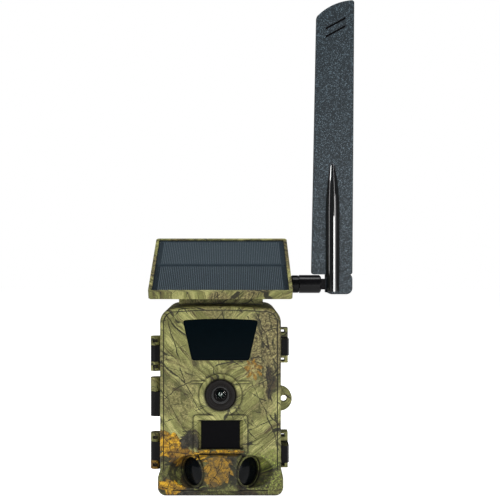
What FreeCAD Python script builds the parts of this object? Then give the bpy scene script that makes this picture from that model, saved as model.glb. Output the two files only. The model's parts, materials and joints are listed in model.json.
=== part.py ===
import os
import re

import FreeCAD
import Part
import Sketcher
from FreeCAD import Placement, Rotation, Vector

# A cellular trail camera with a tilting solar panel and a paddle antenna.
# Millimetres. X is the viewer's right, the front faces -Y, Z is up.
# The origin is the mouth of the tripod socket, in the middle of the underside.

doc = FreeCAD.newDocument("trail_camera")
sheet = doc.addObject("Spreadsheet::Sheet", "dims")

DIMS = {
    # case
    "half_width": 45.5, "foot_half": 47.2, "case_height": 141, "crown": 2, "corner": 11, "foot_corner": 6,
    "front_face": -38, "seam": -10, "back_face": 30, "wall": 2.4, "foot_height": 19.5, "rim": 2.2,
    "door_lift": 0.6, "seam_gap": 0.4, "border_in": 2.4, "border_wide": 0.8, "border_deep": 0.6,
    # hinge and latches
    "hinge_x": -51, "hinge_y": -10, "knuckle_r": 4.1, "pin_r": 1.5, "lug_corner": 3.1,
    "latch_x": 50, "latch_y": 0, "latch_pin_r": 1.2, "lug_reach": 7.4, "running": 0.05,
    # eye for a padlock
    "eye_x": 49.3, "eye_z": 68.6, "eye_r": 2.5, "eye_outer": 9.8, "eye_deep": 4.2,
    # windows and lens
    "ir_top_half": 28.4, "ir_low_half": 21.5, "ir_low": 102.4, "ir_high": 132.6,
    "flange": 1.6, "flange_deep": 1.2,
    "lens_z": 76.5, "lens_r": 11.4, "lens_front": -39.6, "barrel_r": 6.5, "glass_r": 5.3, "fit": 0.3,
    "bezel_r": 16.3, "bezel_top_r": 15.7, "bezel_lip_r": 14.7, "bezel_rise": 1.6,
    "wing_half": 22, "wing_z": 85.5,
    "pir_half": 14.4, "pir_low": 36, "pir_high": 57, "pir_face": -36.6, "recess_half": 17.3,
    "frame_half": 20.2, "frame_low": 32.3, "frame_high": 61.5, "frame_rise": 1.6,
    "side_x": 20.5, "side_y": -36.5, "side_z": 19.1, "side_r": 10.5, "dome_r": 24,
    "nose_half": 12, "nose_root": 19, "nose_front": -45, "chin_top": 32.4,
    # boards, display and keys
    "board_half": 38, "board_y": -24, "board_low": 35, "board_high": 101, "board_thick": 1.6,
    "led_half": 27, "led_y": -28, "led_r": 2.4, "holder_front": -29, "sensor_can_r": 4.2,
    "panel_back_y": -10.6, "panel_thick": 2.2, "cover_screw_r": 1.6, "key_r": 2.8, "key_hole_r": 3.1,
    "key_z": 60, "display_half": 24.5, "display_low": 80, "display_high": 118, "switch_z": 35.5,
    # batteries and the pieces in the rear case
    "cell_r": 7.1, "cell_length": 50.2, "cell_y": 16.5, "spring_gap": 3.4, "contact_gap": 1.8,
    "tray_half": 32, "tray_front": 7.6, "tray_back": 27.4, "tray_low": 14.4, "tray_high": 129,
    "tripod_r": 2.55, "tripod_deep": 9, "insert_r": 5, "port_low_x": 20, "port_high_x": 36,
    "strap_half": 30, "strap_low": 48, "strap_high": 92, "strap_deep": 7, "strap_screw_r": 1.7,
    # solar panel
    "neck_half": 33, "neck_low": 131, "neck_top": 164, "tilt": 30.6, "panel_half_x": 54, "panel_half_y": 40,
    "panel_deep": 6.5, "panel_y": -9.5, "panel_z": 174.5, "tilt_y": 10, "tilt_z": 170, "tilt_r": 4.2,
    "ear": 6, "frame_wide": 2.6, "well_deep": 2.3, "cell_half_x": 51.2, "cell_half_y": 37.2, "cell_thick": 1,
    "plate_deep": 8.9, "panel_screw_r": 1.5,
    # antenna
    "aerial_y": 7, "aerial_z": 157.8, "aerial_r": 7.3, "collar_r": 7.1, "sleeve_r": 5.4, "jack_r": 3.1,
    "elbow_x": 90, "tongue_r": 4.3, "tongue_half": 2, "blade_half": 2.6, "lobe_half": 3.2,
    "spine_x": 89.6, "spine_r": 6.2, "spine_low": 151.2, "spine_waist": 210,
}
for row, (alias, value) in enumerate(DIMS.items(), start=1):
    sheet.set(f"A{row}", str(value))
    sheet.setAlias(f"A{row}", alias)
doc.recompute()

LENGTH_TOLERANCE = 1e-4
POINT_TOLERANCE = 1e-6


# ---- helpers -------------------------------------------------------------------------------

def link(text):
    """Turn the sheet's names in an expression into references to the sheet."""
    return re.sub(r"[a-z_]+", lambda m: "dims." + m[0] if m[0] in DIMS else m[0], str(text))


def number(text):
    """The value of an expression of sheet names and plain numbers."""
    return float(sheet.evalExpression("1 * (" + link(text) + ")"))


def bind(item, **properties):
    for name, text in properties.items():
        item.setExpression(name, link(text))


def place(item, x="0", y="0", z="0"):
    for axis, text in zip("xyz", (x, y, z)):
        item.setExpression(".Placement.Base." + axis, link(text))
    return item


def box(x, y, z):
    """A block given by its two limits along each axis."""
    item = doc.addObject("Part::Box", "block")
    bind(item, Length=f"({x[1]})-({x[0]})", Width=f"({y[1]})-({y[0]})", Height=f"({z[1]})-({z[0]})")
    return place(item, x[0], y[0], z[0])


def both(half, middle="0"):
    """The two limits of a span that reaches half each way from its middle."""
    return f"({middle})-({half})", f"({middle})+({half})"


TURNS = {
    "x": Rotation(Vector(0, 1, 0), 90),
    "y": Rotation(Vector(1, 0, 0), -90),
    "z": Rotation(),
}


def along(axis, start, at):
    """The x, y, z texts of a point at start along the axis, with the other two in order."""
    first, second = at
    return {"x": (start, first, second), "y": (first, start, second), "z": (first, second, start)}[axis]


def rod(radius, axis, span, at):
    item = doc.addObject("Part::Cylinder", "rod")
    item.Placement = Placement(Vector(), TURNS[axis])
    bind(item, Radius=radius, Height=f"({span[1]})-({span[0]})")
    return place(item, *along(axis, span[0], at))


def cone(radii, axis, span, at):
    item = doc.addObject("Part::Cone", "cone")
    item.Placement = Placement(Vector(), TURNS[axis])
    bind(item, Radius1=radii[0], Radius2=radii[1], Height=f"({span[1]})-({span[0]})")
    return place(item, *along(axis, span[0], at))


def join(*items):
    if len(items) == 1:
        return items[0]
    item = doc.addObject("Part::MultiFuse", "join")
    item.Shapes = list(items)
    return item


def cut(base, *tools):
    item = doc.addObject("Part::Cut", "cut")
    item.Base = base
    item.Tool = join(*tools)
    return item


def tube(outside, inside, axis, span, at):
    return cut(rod(outside, axis, span, at), rod(inside, axis, span, at))


def dome(radius, low, top, curve):
    """A round lens whose outer face is part of a ball of radius curve."""
    ball = doc.addObject("Part::Sphere", "ball")
    bind(ball, Radius=curve)
    place(ball, z=f"{top}-{curve}")
    lens = doc.addObject("Part::Common", "dome")
    lens.Base = rod(radius, "z", (low, f"{top}+1"), ("0", "0"))
    lens.Tool = ball
    return lens


def rim_edges(shape, axis, value):
    """Names of the edges that lie wholly at one value of an axis."""
    names = []
    for index, edge in enumerate(shape.Edges, start=1):
        limits = edge.BoundBox
        low, high = getattr(limits, axis + "Min"), getattr(limits, axis + "Max")
        if abs(low - value) < LENGTH_TOLERANCE and abs(high - value) < LENGTH_TOLERANCE:
            names.append(f"Edge{index}")
    return names


def outline(body, points, rise, turned):
    """A closed sketch through points of sheet texts, each held by two bound distances."""
    role = "XY_Plane" if turned else "XZ_Plane"
    plane = next(feature for feature in body.Origin.OriginFeatures if feature.Role == role)
    sketch = body.newObject("Sketcher::SketchObject", "outline")
    sketch.AttachmentSupport = [(plane, "")]
    sketch.MapMode = "FlatFace"
    corners = [Vector(*(number(text) for text in point), 0) for point in points]
    count = len(points)
    for index, start in enumerate(corners):
        end = corners[(index + 1) % count]
        if rise and index == 2:
            middle = (start + end) * 0.5 + Vector(0, number(rise), 0)
            sketch.addGeometry(Part.Arc(start, middle, end))
        else:
            sketch.addGeometry(Part.LineSegment(start, end))

    def vertex(index, corner):
        return 1 if sketch.getPoint(index, 1).distanceToPoint(corner) < POINT_TOLERANCE else 2

    for index in range(count):
        after = (index + 1) % count
        ends = vertex(index, corners[after]), vertex(after, corners[after])
        sketch.addConstraint(Sketcher.Constraint("Coincident", index, ends[0], after, ends[1]))
    for index, (corner, texts) in enumerate(zip(corners, points)):
        for kind, value, text in zip(("DistanceX", "DistanceY"), (corner.x, corner.y), texts):
            held = Sketcher.Constraint(kind, -1, 1, index, vertex(index, corner), value)
            sketch.setExpression(f"Constraints[{sketch.addConstraint(held)}]", link(text))
    if rise:
        sketch.addConstraint(Sketcher.Constraint("Radius", 2, sketch.Geometry[2].Radius))
    return sketch


def slab(points, span, corner=0, rim=0, rise=0, turned=False):
    """A body padded between the two y limits of span from an outline of x, z texts, anticlockwise.

    The outline's third side, its top, is an arc that stands rise proud. corner rounds the outline
    and rim rounds the front edge. A turned slab has an outline of x, y texts and z limits."""
    body = doc.addObject("PartDesign::Body", "slab")
    pad = body.newObject("PartDesign::Pad", "pad")
    pad.Profile = outline(body, points, rise, turned)
    body.Tip = pad
    bind(pad, Length=f"({span[1]})-({span[0]})")
    doc.recompute()
    depth = number(span[1]) - number(span[0])
    if corner:
        sides = []
        for index, edge in enumerate(pad.Shape.Edges, start=1):
            length = edge.BoundBox.ZLength if turned else edge.BoundBox.YLength
            if abs(length - depth) < LENGTH_TOLERANCE and isinstance(edge.Curve, Part.Line):
                sides.append(f"Edge{index}")
        fillet = body.newObject("PartDesign::Fillet", "corners")
        fillet.Base = (pad, sides)
        bind(fillet, Radius=corner)
        doc.recompute()
    if rim:
        before = body.Tip
        fillet = body.newObject("PartDesign::Fillet", "rim")
        fillet.Base = (before, rim_edges(before.Shape, "Y", -depth))
        bind(fillet, Radius=rim)
    if turned:
        return place(body, z=span[0])
    return place(body, y=span[1])


def moved(item, placement):
    """The item carried into another frame."""
    carrier = doc.addObject("Part::Compound", "moved")
    carrier.Links = [item]
    carrier.Placement = placement
    return carrier


nodes = []


def node(name, *items):
    """Name a finished piece. Its label is its node and its file."""
    item = join(*items)
    item.Label = name
    nodes.append(item)
    return item


def rectangle(x, z):
    """An outline whose third side is its top."""
    return [(x[0], z[0]), (x[1], z[0]), (x[1], z[1]), (x[0], z[1])]


def case_outline(inset, low="0"):
    """The case's outline, drawn in by inset."""
    return rectangle(both(f"half_width-({inset})"), (f"({low})+{inset}", f"case_height-({inset})"))


# ---- the two halves of the case ------------------------------------------------------------

PLAIN_LUGS = [("74.8", "85.6")]
POCKET_LUGS = [("90.7", "98"), ("110.9", "117.8"), ("14.2", "21"), ("35.6", "42.4")]
HINGE_BARRELS = [("98.2", "110.7"), ("55.4", "74.6"), ("21.2", "35.4")]
HINGE_PINS = [("91.5", "117"), ("55.8", "85"), ("15", "41.6")]
LATCHES = {"upper": ("103.6", "116.2"), "lower": ("20.7", "33.9")}
MIDDLE = ("0", "0")


def outer(y, lift="0", rim=0):
    """The case's outside between two depths, with its wider foot."""
    shell = rectangle(both("half_width"), (lift, "case_height"))
    foot = rectangle(both("foot_half"), (lift, "foot_height"))
    return join(slab(shell, y, corner="corner", rim=rim, rise="crown"),
                slab(foot, y, corner="foot_corner", rim=rim))


def hinge_at(radius, span):
    return rod(radius, "z", span, ("hinge_x", "hinge_y"))


def hinge_lug(span):
    knuckle = hinge_at("knuckle_r", span)
    arm = box(("hinge_x", "-half_width+0.5"), ("hinge_y+1", "hinge_y+4"), span)
    corner = slab(rectangle(("hinge_x-lug_corner", "hinge_x"), ("hinge_y-lug_corner", "hinge_y")), span,
                  corner="0.7", turned=True)
    return join(knuckle, arm, corner)


def latch_lugs(low, high):
    """The pair of lugs that hold one latch's pin, and the slots in them."""
    lug = rectangle(("half_width-0.5", "latch_x+2.9"), ("latch_y-6", "latch_y+4"))
    lugs = [slab(lug, span, corner="0.8", turned=True)
            for span in ((f"{low}-lug_reach", f"{low}-fit"), (f"{high}+fit", f"{high}+lug_reach"))]
    slots = [box(("latch_x-2.6", "latch_x+0.4"), ("latch_y-7", "latch_y+5"), span)
             for span in ((f"{low}-6.2", f"{low}-3.6"), (f"{high}+3.6", f"{high}+6.2"))]
    return lugs, slots


def latch_pin(low, high):
    return rod("latch_pin_r", "z", (f"{low}-2.8", f"{high}+2.8"), ("latch_x", "latch_y"))


def rear_case():
    cavity = slab(case_outline("wall"), ("seam-1", "back_face-wall"), corner="corner-wall")
    parts = [cut(outer(("seam+seam_gap", "back_face")), cavity), rod("8", "z", ("0", "12"), MIDDLE)]
    parts += [hinge_lug(span) for span in PLAIN_LUGS + POCKET_LUGS]
    eye_span = ("seam+seam_gap", "seam+seam_gap+eye_deep")
    eye = rod("eye_outer", "y", eye_span, ("46", "eye_z"))
    parts.append(cut(eye, box(("30", "half_width-1"), ("seam-1", "seam+6"), both("20", "eye_z"))))
    holes = [rod("eye_r", "y", ("seam-1", "seam+6"), ("eye_x", "eye_z"))]
    for low, high in LATCHES.values():
        lugs, slots = latch_lugs(low, high)
        parts += lugs
        holes += [*slots, latch_pin(low, high)]
    for low, high in POCKET_LUGS:
        pocket_z = (f"{low}+2.2", f"{high}-2.2")
        holes.append(box(("hinge_x-2.2", "hinge_x+1.8"), ("hinge_y-5", "hinge_y-2.4"), pocket_z))
    holes.append(slab(rectangle(both("30"), ("100", "122")), ("back_face-0.7", "back_face+1"), corner="3"))
    for low, high in (("44.4", "46"), ("94", "95.6")):
        holes.append(box(both("36"), ("back_face-0.8", "back_face+1"), (low, high)))
    holes.append(rod("insert_r", "z", ("-1", "tripod_deep"), MIDDLE))
    holes.append(box(("port_low_x", "port_high_x"), ("2", "14"), ("-1", "4")))
    holes += [hinge_at("pin_r", span) for span in HINGE_PINS]
    node("rear_case", cut(join(*parts), *holes))


def side_turn(side):
    """The frame of a side window: its z axis points out of the window."""
    turn = Rotation(Vector(0, 0, 1), 45 * side) * Rotation(Vector(1, 0, 0), 90)
    return Placement(Vector(side * number("side_x"), number("side_y"), number("side_z")), turn)


def ir_outline(y, grow):
    """The infrared window's outline, wider at its top, grown all round."""
    low, high = f"ir_low-({grow})", f"ir_high+({grow})"
    points = [(f"-ir_low_half-({grow})", low), (f"ir_low_half+({grow})", low),
              (f"ir_top_half+({grow})", high), (f"-ir_top_half-({grow})", high)]
    return slab(points, y, corner="2", rise="1.2")


def raised_face():
    """What stands proud of the cover: the nose, the lens bezel and its wings, and the sensor frame."""
    lens = ("0", "lens_z")
    root = "front_face+0.5"
    nose = slab([("-nose_root", "front_face+1"), ("-nose_half", "nose_front"), ("nose_half", "nose_front"),
                 ("nose_root", "front_face+1")], ("6.6", "chin_top-0.2"), corner="2.5", turned=True)
    bezel = cone(("bezel_top_r", "bezel_r"), "y", ("front_face-bezel_rise", "front_face"), lens)
    wings = slab(rectangle(both("wing_half"), ("wing_z", "wing_z+1.4")), ("front_face-1.1", root), rim="0.4")
    frame = slab(rectangle(both("frame_half"), ("frame_low", "frame_high")), ("front_face-frame_rise", root),
                 corner="2", rim="0.6")
    return nose, bezel, rod("bezel_r-0.1", "y", ("front_face-0.1", root), lens), wings, frame


def border_groove():
    """The line that runs inside the cover's edge, down to the foot."""
    y = ("front_face-1", "front_face+border_deep")
    rings = [slab(case_outline(inset, "door_lift"), y, corner=f"corner-({inset})", rise="crown")
             for inset in ("border_in", "border_in+border_wide")]
    return cut(*rings, box(both("60"), ("-50", "-30"), ("0", "foot_height+0.7")))


def front_cover():
    lens = ("0", "lens_z")
    shell = outer(("front_face", "seam-seam_gap"), lift="door_lift", rim="rim")
    cavity = slab(case_outline("wall", "door_lift"), ("front_face+wall", "seam"), corner="corner-wall")
    parts = [cut(shell, cavity), *raised_face()]
    parts.append(box(both("38"), ("front_face+1", "-25.5"), ("6", "chin_top")))
    for low, high in LATCHES.values():
        parts.append(box(("half_width-0.5", "half_width+0.9"), ("-17.5", "-15.5"), (f"{low}+1", f"{high}-1")))
    tools = [ir_outline(("front_face-1", "front_face+4"), "0"), border_groove()]
    tools.append(rod("lens_r+fit", "y", ("lens_front-1", "-30"), lens))
    tools.append(cone(("bezel_lip_r", "lens_r+fit"), "y", ("front_face-bezel_rise", "front_face"), lens))
    tools.append(box(both("pir_half+0.2"), ("front_face-3", "-30"), ("pir_low-0.2", "pir_high+0.2")))
    tools.append(slab([("-recess_half", "front_face-2"), ("recess_half", "front_face-2"),
                       ("pir_half+0.2", "pir_face"), ("-pir_half-0.2", "pir_face")],
                      ("pir_low-0.2", "pir_high+1.2"), turned=True))
    tools.append(hinge_at("knuckle_r+0.4", ("13.6", "21.6")))
    tools.append(box(both("36"), ("front_face-1", "front_face+0.6"), ("4.6", "5.4")))
    rings = []
    for side in (-1, 1):
        frame = side_turn(side)
        rings.append(moved(tube("side_r+1.5", "side_r+0.1", "z", ("-2.4", "0.9"), MIDDLE), frame))
        tools.append(moved(rod("side_r+1.8", "z", ("0", "24"), MIDDLE), frame))
        tools.append(moved(rod("side_r+0.1", "z", ("-2.4", "6"), MIDDLE), frame))
        tools.append(moved(rod("side_r-2.5", "z", ("-30", "0"), MIDDLE), frame))
    node("front_cover", cut(join(*parts), *tools), *rings)


# ---- optics and sensors in the front cover -------------------------------------------------

LED_ROWS = 4
LED_PITCH = 5.6
LED_RISE = 7
LED_LOW = 107


def led_spots():
    """Centres of the diodes, in rows that widen upwards with the window."""
    for level in range(LED_ROWS):
        reach = 17 + 2.4 * level
        for column in range(-4, 5):
            if abs(column) * LED_PITCH < reach:
                yield column * LED_PITCH, LED_LOW + LED_RISE * level


def front_optics():
    inner_wall = "front_face+wall"
    flange_y = (inner_wall, f"{inner_wall}+flange_deep")
    node("ir_window", ir_outline(("front_face+0.4", inner_wall), "-0.1"), ir_outline(flange_y, "flange"))
    node("ir_led_board", box(both("led_half"), ("led_y", "led_y+board_thick"), ("104", "132")))
    node("ir_leds", *[rod("led_r", "y", ("led_y-3.6", "led_y"), (str(x), str(z))) for x, z in led_spots()])
    axis = ("0", "lens_z")
    node("lens_ring", tube("lens_r", "barrel_r+0.2", "y", ("lens_front", "-35"), axis))
    node("lens_barrel", tube("barrel_r", "glass_r", "y", ("lens_front+1", "holder_front"), axis))
    node("lens_glass", rod("glass_r", "y", ("-38", "-34.5"), axis), rod("glass_r", "y", ("-33", "-31"), axis))
    holder = box(both("14"), ("holder_front", "board_y"), both("8.5", "lens_z"))
    slot = box(("-4.1", "11.2"), ("-27.7", "-26.3"), both("3.9", "lens_z"))
    node("lens_holder", cut(holder, slot, rod("sensor_can_r", "y", ("-30", "-23"), axis)))
    node("ir_cut_filter", box(both("3.8"), both("0.4", "-27"), both("3.5", "lens_z")))
    node("image_sensor", box(both("2.9"), ("board_y-0.9", "board_y"), both("2.2", "lens_z")))
    node("pir_window",
         box(both("pir_half"), ("pir_face", inner_wall), ("pir_low", "pir_high")),
         box(both("pir_half+flange"), flange_y, ("pir_low-flange", "pir_high+flange")))
    sensors = [rod("4.3", "y", ("-28.5", "board_y"), ("0", "46.5"))]
    windows = []
    for side in (-1, 1):
        windows.append(moved(dome("side_r", "-1.8", "1.7", "dome_r"), side_turn(side)))
        can = rod("4.1", "z", ("-14", "-9.5"), MIDDLE)
        plate = box(both("5.5"), both("5.5"), ("-15.2", "-14"))
        sensors.append(moved(join(can, plate), side_turn(side)))
    node("side_pir_windows", *windows)
    node("pir_sensors", *sensors)


# ---- boards, display and keys behind the front cover ---------------------------------------

KEYS = {"up": (0, 10), "down": (0, -10), "left": (-10, 0), "right": (10, 0), "ok": (0, 0), "menu": (-22, 10)}
KEY_SPOTS = {name: (str(x), f"key_z+({z})") for name, (x, z) in KEYS.items()}
COVER_SCREWS = [(str(x), str(z)) for x in (-37, 37) for z in (10, 126)]


def electronics():
    slot = box(("-34", "-18"), ("board_y+board_thick", "-20.2"), ("38", "54"))
    board = box(both("board_half"), ("board_y", "board_y+board_thick"), ("board_low", "board_high"))
    node("mainboard", board, slot)
    node("cellular_module", box(("8", "34"), ("-22.4", "-19.8"), ("72", "98")))
    node("sim_card", box(("14", "29"), ("-22.4", "-21.2"), ("42", "54")))
    node("sd_card", box(("-33", "-19"), ("-20.2", "-19.2"), ("37", "53")))
    node("speaker", rod("9", "y", ("-22.4", "-18.4"), ("-25", "88")))
    node("microphone", rod("2.2", "y", ("front_face+wall", "-33"), ("24", "68")))
    node("lcd_display", box(both("led_half"), ("-16.4", "panel_back_y-panel_thick"), ("78", "120")))
    node("display_window", box(both("display_half"), ("panel_back_y-panel_thick", "panel_back_y-0.3"),
                               ("display_low+0.1", "display_high-0.1")))


def keypad():
    switches = [box(both("2.5", x), ("-16.6", "-13.9"), both("2.5", z)) for x, z in KEY_SPOTS.values()]
    slider_base = box(("-14", "6"), ("-16.6", "-14.8"), both("4", "switch_z"))
    node("keypad_board", box(("-30", "20"), ("-18", "-16.6"), ("31.5", "76")), slider_base, *switches)
    for name, spot in KEY_SPOTS.items():
        node("button_" + name, rod("key_r", "y", ("-13.4", "panel_back_y+0.6"), spot))
    tab = box(("-10", "-6"), ("-13.1", "-9.9"), both("1.5", "switch_z"))
    shoe = box(("-11", "-5"), ("-14.4", "-13.1"), both("2.5", "switch_z"))
    node("power_switch_knob", tab, shoe)


def inner_panel():
    through = ("-14", "-10")
    panel = slab(case_outline("wall+0.2", "door_lift"), ("panel_back_y-panel_thick", "panel_back_y"),
                 corner="corner-wall-0.2")
    holes = [rod("key_hole_r", "y", through, spot) for spot in KEY_SPOTS.values()]
    holes.append(box(both("display_half+0.1"), through, ("display_low", "display_high")))
    holes.append(box(("-10.4", "2.4"), through, both("1.9", "switch_z")))
    holes += [rod("cover_screw_r", "y", through, spot) for spot in COVER_SCREWS]
    node("inner_panel", cut(panel, *holes))
    screws = [rod("cover_screw_r", "y", ("-19", "panel_back_y"), spot) for spot in COVER_SCREWS]
    node("inner_panel_screws", *screws)


# ---- pieces held in the rear case ----------------------------------------------------------

CELL_SPOTS = [(x, z) for z in (18.6, 72.4) for x in (-22.2, -7.4, 7.4, 22.2)]
SPRING_TURNS = 3
SPRING_RISE = 1.2
SPRING_WIDE = 3.6
SPRING_NARROWING = 0.7
SPRING_WIRE = 1.4
STRAP_SCREWS = [(str(x), str(z)) for x in (-14, 14) for z in (51.5, 88.5)]


def spring(x, z):
    """A battery's coil spring as a stack of narrowing flat rings."""
    rings = []
    for turn in range(SPRING_TURNS):
        low = f"{z}-spring_gap+{SPRING_RISE * turn}"
        radius = SPRING_WIDE - SPRING_NARROWING * turn
        rings.append(tube(str(radius), str(radius - SPRING_WIRE), "z", (low, f"{low}+1"), (str(x), "cell_y")))
    return join(*rings)


def batteries():
    tray = box(both("tray_half"), ("tray_front", "tray_back"), ("tray_low", "tray_high"))
    relief = box(both("30"), ("25.6", "28"), ("16", "127"))
    bays = []
    cells = []
    metal = []
    for x, z in CELL_SPOTS:
        top = f"{z}+cell_length"
        bays.append(box(both("cell_r+0.15", x), ("7", "24.4"), (f"{z}-spring_gap", f"{top}+contact_gap")))
        cells.append(rod("cell_r", "z", (str(z), top), (str(x), "cell_y")))
        metal.append(spring(x, z))
        metal.append(box(both("4", x), both("4", "cell_y"), (f"{top}+1.2", f"{top}+contact_gap")))
    node("battery_tray", cut(tray, relief, *bays))
    node("battery_cells", *cells)
    node("battery_contacts", *metal)
    lid = box(both("33"), ("tray_front-2.2", "tray_front"), ("tray_low-0.2", "tray_high+1"))
    node("battery_cover", lid, box(both("8"), ("4.2", "tray_front-2.2"), ("122", "127")))


def rear_pieces():
    rim = slab(case_outline("1.3"), ("seam-0.25", "seam+seam_gap"), corner="corner-1.3")
    hollow = slab(case_outline("2.3"), ("seam-1", "seam+1"), corner="corner-2.3")
    node("case_gasket", cut(rim, hollow))
    node("tripod_insert", tube("insert_r", "tripod_r", "z", ("0", "tripod_deep"), MIDDLE))
    node("hinge_pins", *[hinge_at("pin_r", span) for span in HINGE_PINS])
    node("latch_pins", *[latch_pin(low, high) for low, high in LATCHES.values()])
    node("port_plug", box(("port_low_x+0.2", "port_high_x-0.2"), ("2.2", "13.8"), ("0.5", "3.2")))
    board = box(("13", "41"), ("-4", "6.8"), ("12.2", "13.6"))
    node("power_board", board, box(("23.5", "32.5"), ("2.6", "6.6"), ("3.4", "12.3")))


def strap_bracket():
    z = ("strap_low", "strap_high")
    face = "back_face+strap_deep"
    bracket = cut(box(both("strap_half"), ("back_face", face), z),
                  box(both("40"), ("back_face-1", "back_face+4.4"), ("strap_low+7", "strap_high-7")))
    ribs = [box(x, (face, f"{face}+3"), z) for x in (("-27", "-22"), ("22", "27"))]
    holes = [rod("strap_screw_r", "y", ("back_face-1", f"{face}+1"), spot) for spot in STRAP_SCREWS]
    node("strap_bracket", cut(join(bracket, *ribs), *holes))
    screws = []
    for spot in STRAP_SCREWS:
        screws.append(rod("strap_screw_r", "y", ("back_face", face), spot))
        screws.append(rod("3", "y", (face, f"{face}+1.6"), spot))
    node("strap_bracket_screws", *screws)


def door_hinge_barrels():
    barrels = []
    for span in HINGE_BARRELS:
        arm = box(("hinge_x", "-half_width"), ("hinge_y-knuckle_r", "seam-seam_gap-0.6"), span)
        barrels.append(cut(join(hinge_at("knuckle_r", span), arm), hinge_at("pin_r+running", ("0", "130"))))
    node("hinge_barrels", *barrels)


def latch_levers():
    profile = [("46.9", "-20"), ("51.6", "-20"), ("52.9", "-17"), ("52.9", "2.8"), ("47.2", "2.8"),
               ("47.2", "-18.2"), ("46.9", "-18.6")]
    for name, (low, high) in LATCHES.items():
        lever = slab(profile, (low, high), corner="0.25", turned=True)
        hollow = box(("47", "50.8"), ("-17.6", "-4.4"), (f"{low}+1.6", f"{high}-1.6"))
        bore = rod("latch_pin_r+running", "z", (f"{low}-1", f"{high}+1"), ("latch_x", "latch_y"))
        node("latch_lever_" + name, cut(lever, hollow, bore))


# ---- the solar panel on its neck -----------------------------------------------------------

PANEL_SCREWS = [(str(x), str(y)) for x in (-38, 38) for y in (-32.5, 26)]


def panel_neck():
    tilt = ("tilt_y", "tilt_z")
    block = box(both("neck_half"), ("seam+0.6", "24"), ("neck_low", "neck_top"))
    parts = [cut(block, outer(("front_face-1", "back_face+1")))]
    parts.append(rod("7.4", "x", ("neck_half-1", "44"), ("aerial_y", "aerial_z-1.2")))
    for span in (("-neck_half", "-neck_half+ear"), ("neck_half-ear", "neck_half")):
        parts.append(rod("tilt_r", "x", span, tilt))
        parts.append(box(span, both("tilt_r", "tilt_y"), ("neck_top-1", "tilt_z")))
    holes = [rod("pin_r", "x", both("40"), tilt), rod("jack_r", "x", ("20", "50"), ("aerial_y", "aerial_z"))]
    holes.append(box(both("26"), ("-6", "20"), ("neck_low", "neck_top-3")))
    node("panel_neck", cut(join(*parts), *holes))
    node("panel_pin", rod("pin_r", "x", both("neck_half"), tilt))


def solar_panel():
    """The tilted tray, its cells and glass, and the back plate that turns on the neck's pin."""
    centre = Vector(0, number("panel_y"), number("panel_z"))
    tilted = Placement(centre, Rotation(Vector(1, 0, 0), number("tilt")))
    tray = slab(rectangle(both("panel_half_x"), both("panel_half_y")), ("-panel_deep", "0"), corner="2.4",
                turned=True)
    well = box(both("panel_half_x-frame_wide"), both("panel_half_y-frame_wide"), ("-well_deep", "1"))
    cavity = box(both("46"), both("32"), ("-panel_deep-1", "-3.6"))
    node("panel_frame", moved(cut(tray, well, cavity), tilted))
    cell_z = ("-well_deep", "-well_deep+cell_thick")
    rows = [box(both("cell_half_x"), y, cell_z) for y in (("-cell_half_y", "-0.4"), ("0.4", "cell_half_y"))]
    node("solar_cells", moved(join(*rows), tilted))
    glass = box(both("cell_half_x+0.1"), both("cell_half_y+0.1"), ("-well_deep+cell_thick", "-0.3"))
    node("panel_glass", moved(glass, tilted))
    across = both("neck_half-ear-fit")
    plate = box(both("42"), ("-36.5", "30"), ("-plate_deep", "-panel_deep"))
    plug = box(both("45.8"), both("31.8"), ("-panel_deep-0.001", "-5.6"))
    web = box(across, ("10.4", "18.6"), ("-13.8", "-8.8"))
    barrel = rod("tilt_r", "x", across, ("tilt_y", "tilt_z"))
    back = join(moved(plate, tilted), moved(plug, tilted), moved(web, tilted), barrel)
    holes = [rod("pin_r+running", "x", both("40"), ("tilt_y", "tilt_z"))]
    holes += panel_screws(tilted)
    node("panel_back", cut(back, *holes))
    node("panel_screws", *panel_screws(tilted))


def panel_screws(frame):
    return [moved(rod("panel_screw_r", "z", ("-9.6", "-panel_deep"), spot), frame) for spot in PANEL_SCREWS]


# ---- the antenna ---------------------------------------------------------------------------

SLOT_LOWS = ("362.5", "356")
# height and radius along the taper of the blade's spine
SPINE_TAPER = (("spine_waist", "spine_r"), ("222", "6"), ("235", "5.1"), ("249", "3.5"), ("257", "2"), ("262.5", "0.5"))


def antenna_joint():
    axis = ("aerial_y", "aerial_z")
    elbow = ("elbow_x", "aerial_z")
    node("antenna_jack", rod("jack_r", "x", ("28", "57.6"), axis), rod("5.6", "x", ("44", "46.4"), axis))
    sleeve = join(rod("sleeve_r", "x", ("47", "57"), axis), rod("collar_r", "x", ("56.6", "62.4"), axis))
    node("antenna_nut", cut(sleeve, rod("jack_r+running", "x", ("46", "63"), axis)))
    barrel = [rod("jack_r-0.02", "x", ("58", "63"), axis), rod("aerial_r", "x", ("62.8", "79"), axis),
              cone(("aerial_r", "aerial_r-1.2"), "x", ("79", "80.2"), axis)]
    thick = both("tongue_half", "aerial_y")
    tongue = [box(("80", "elbow_x"), thick, both("tongue_r", "aerial_z")), rod("tongue_r", "y", thick, elbow)]
    node("antenna_base", cut(join(*barrel, *tongue), rod("pin_r", "y", ("0", "14"), elbow)))
    node("elbow_pin", rod("pin_r", "y", both("5.9", "aerial_y"), elbow))


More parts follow.
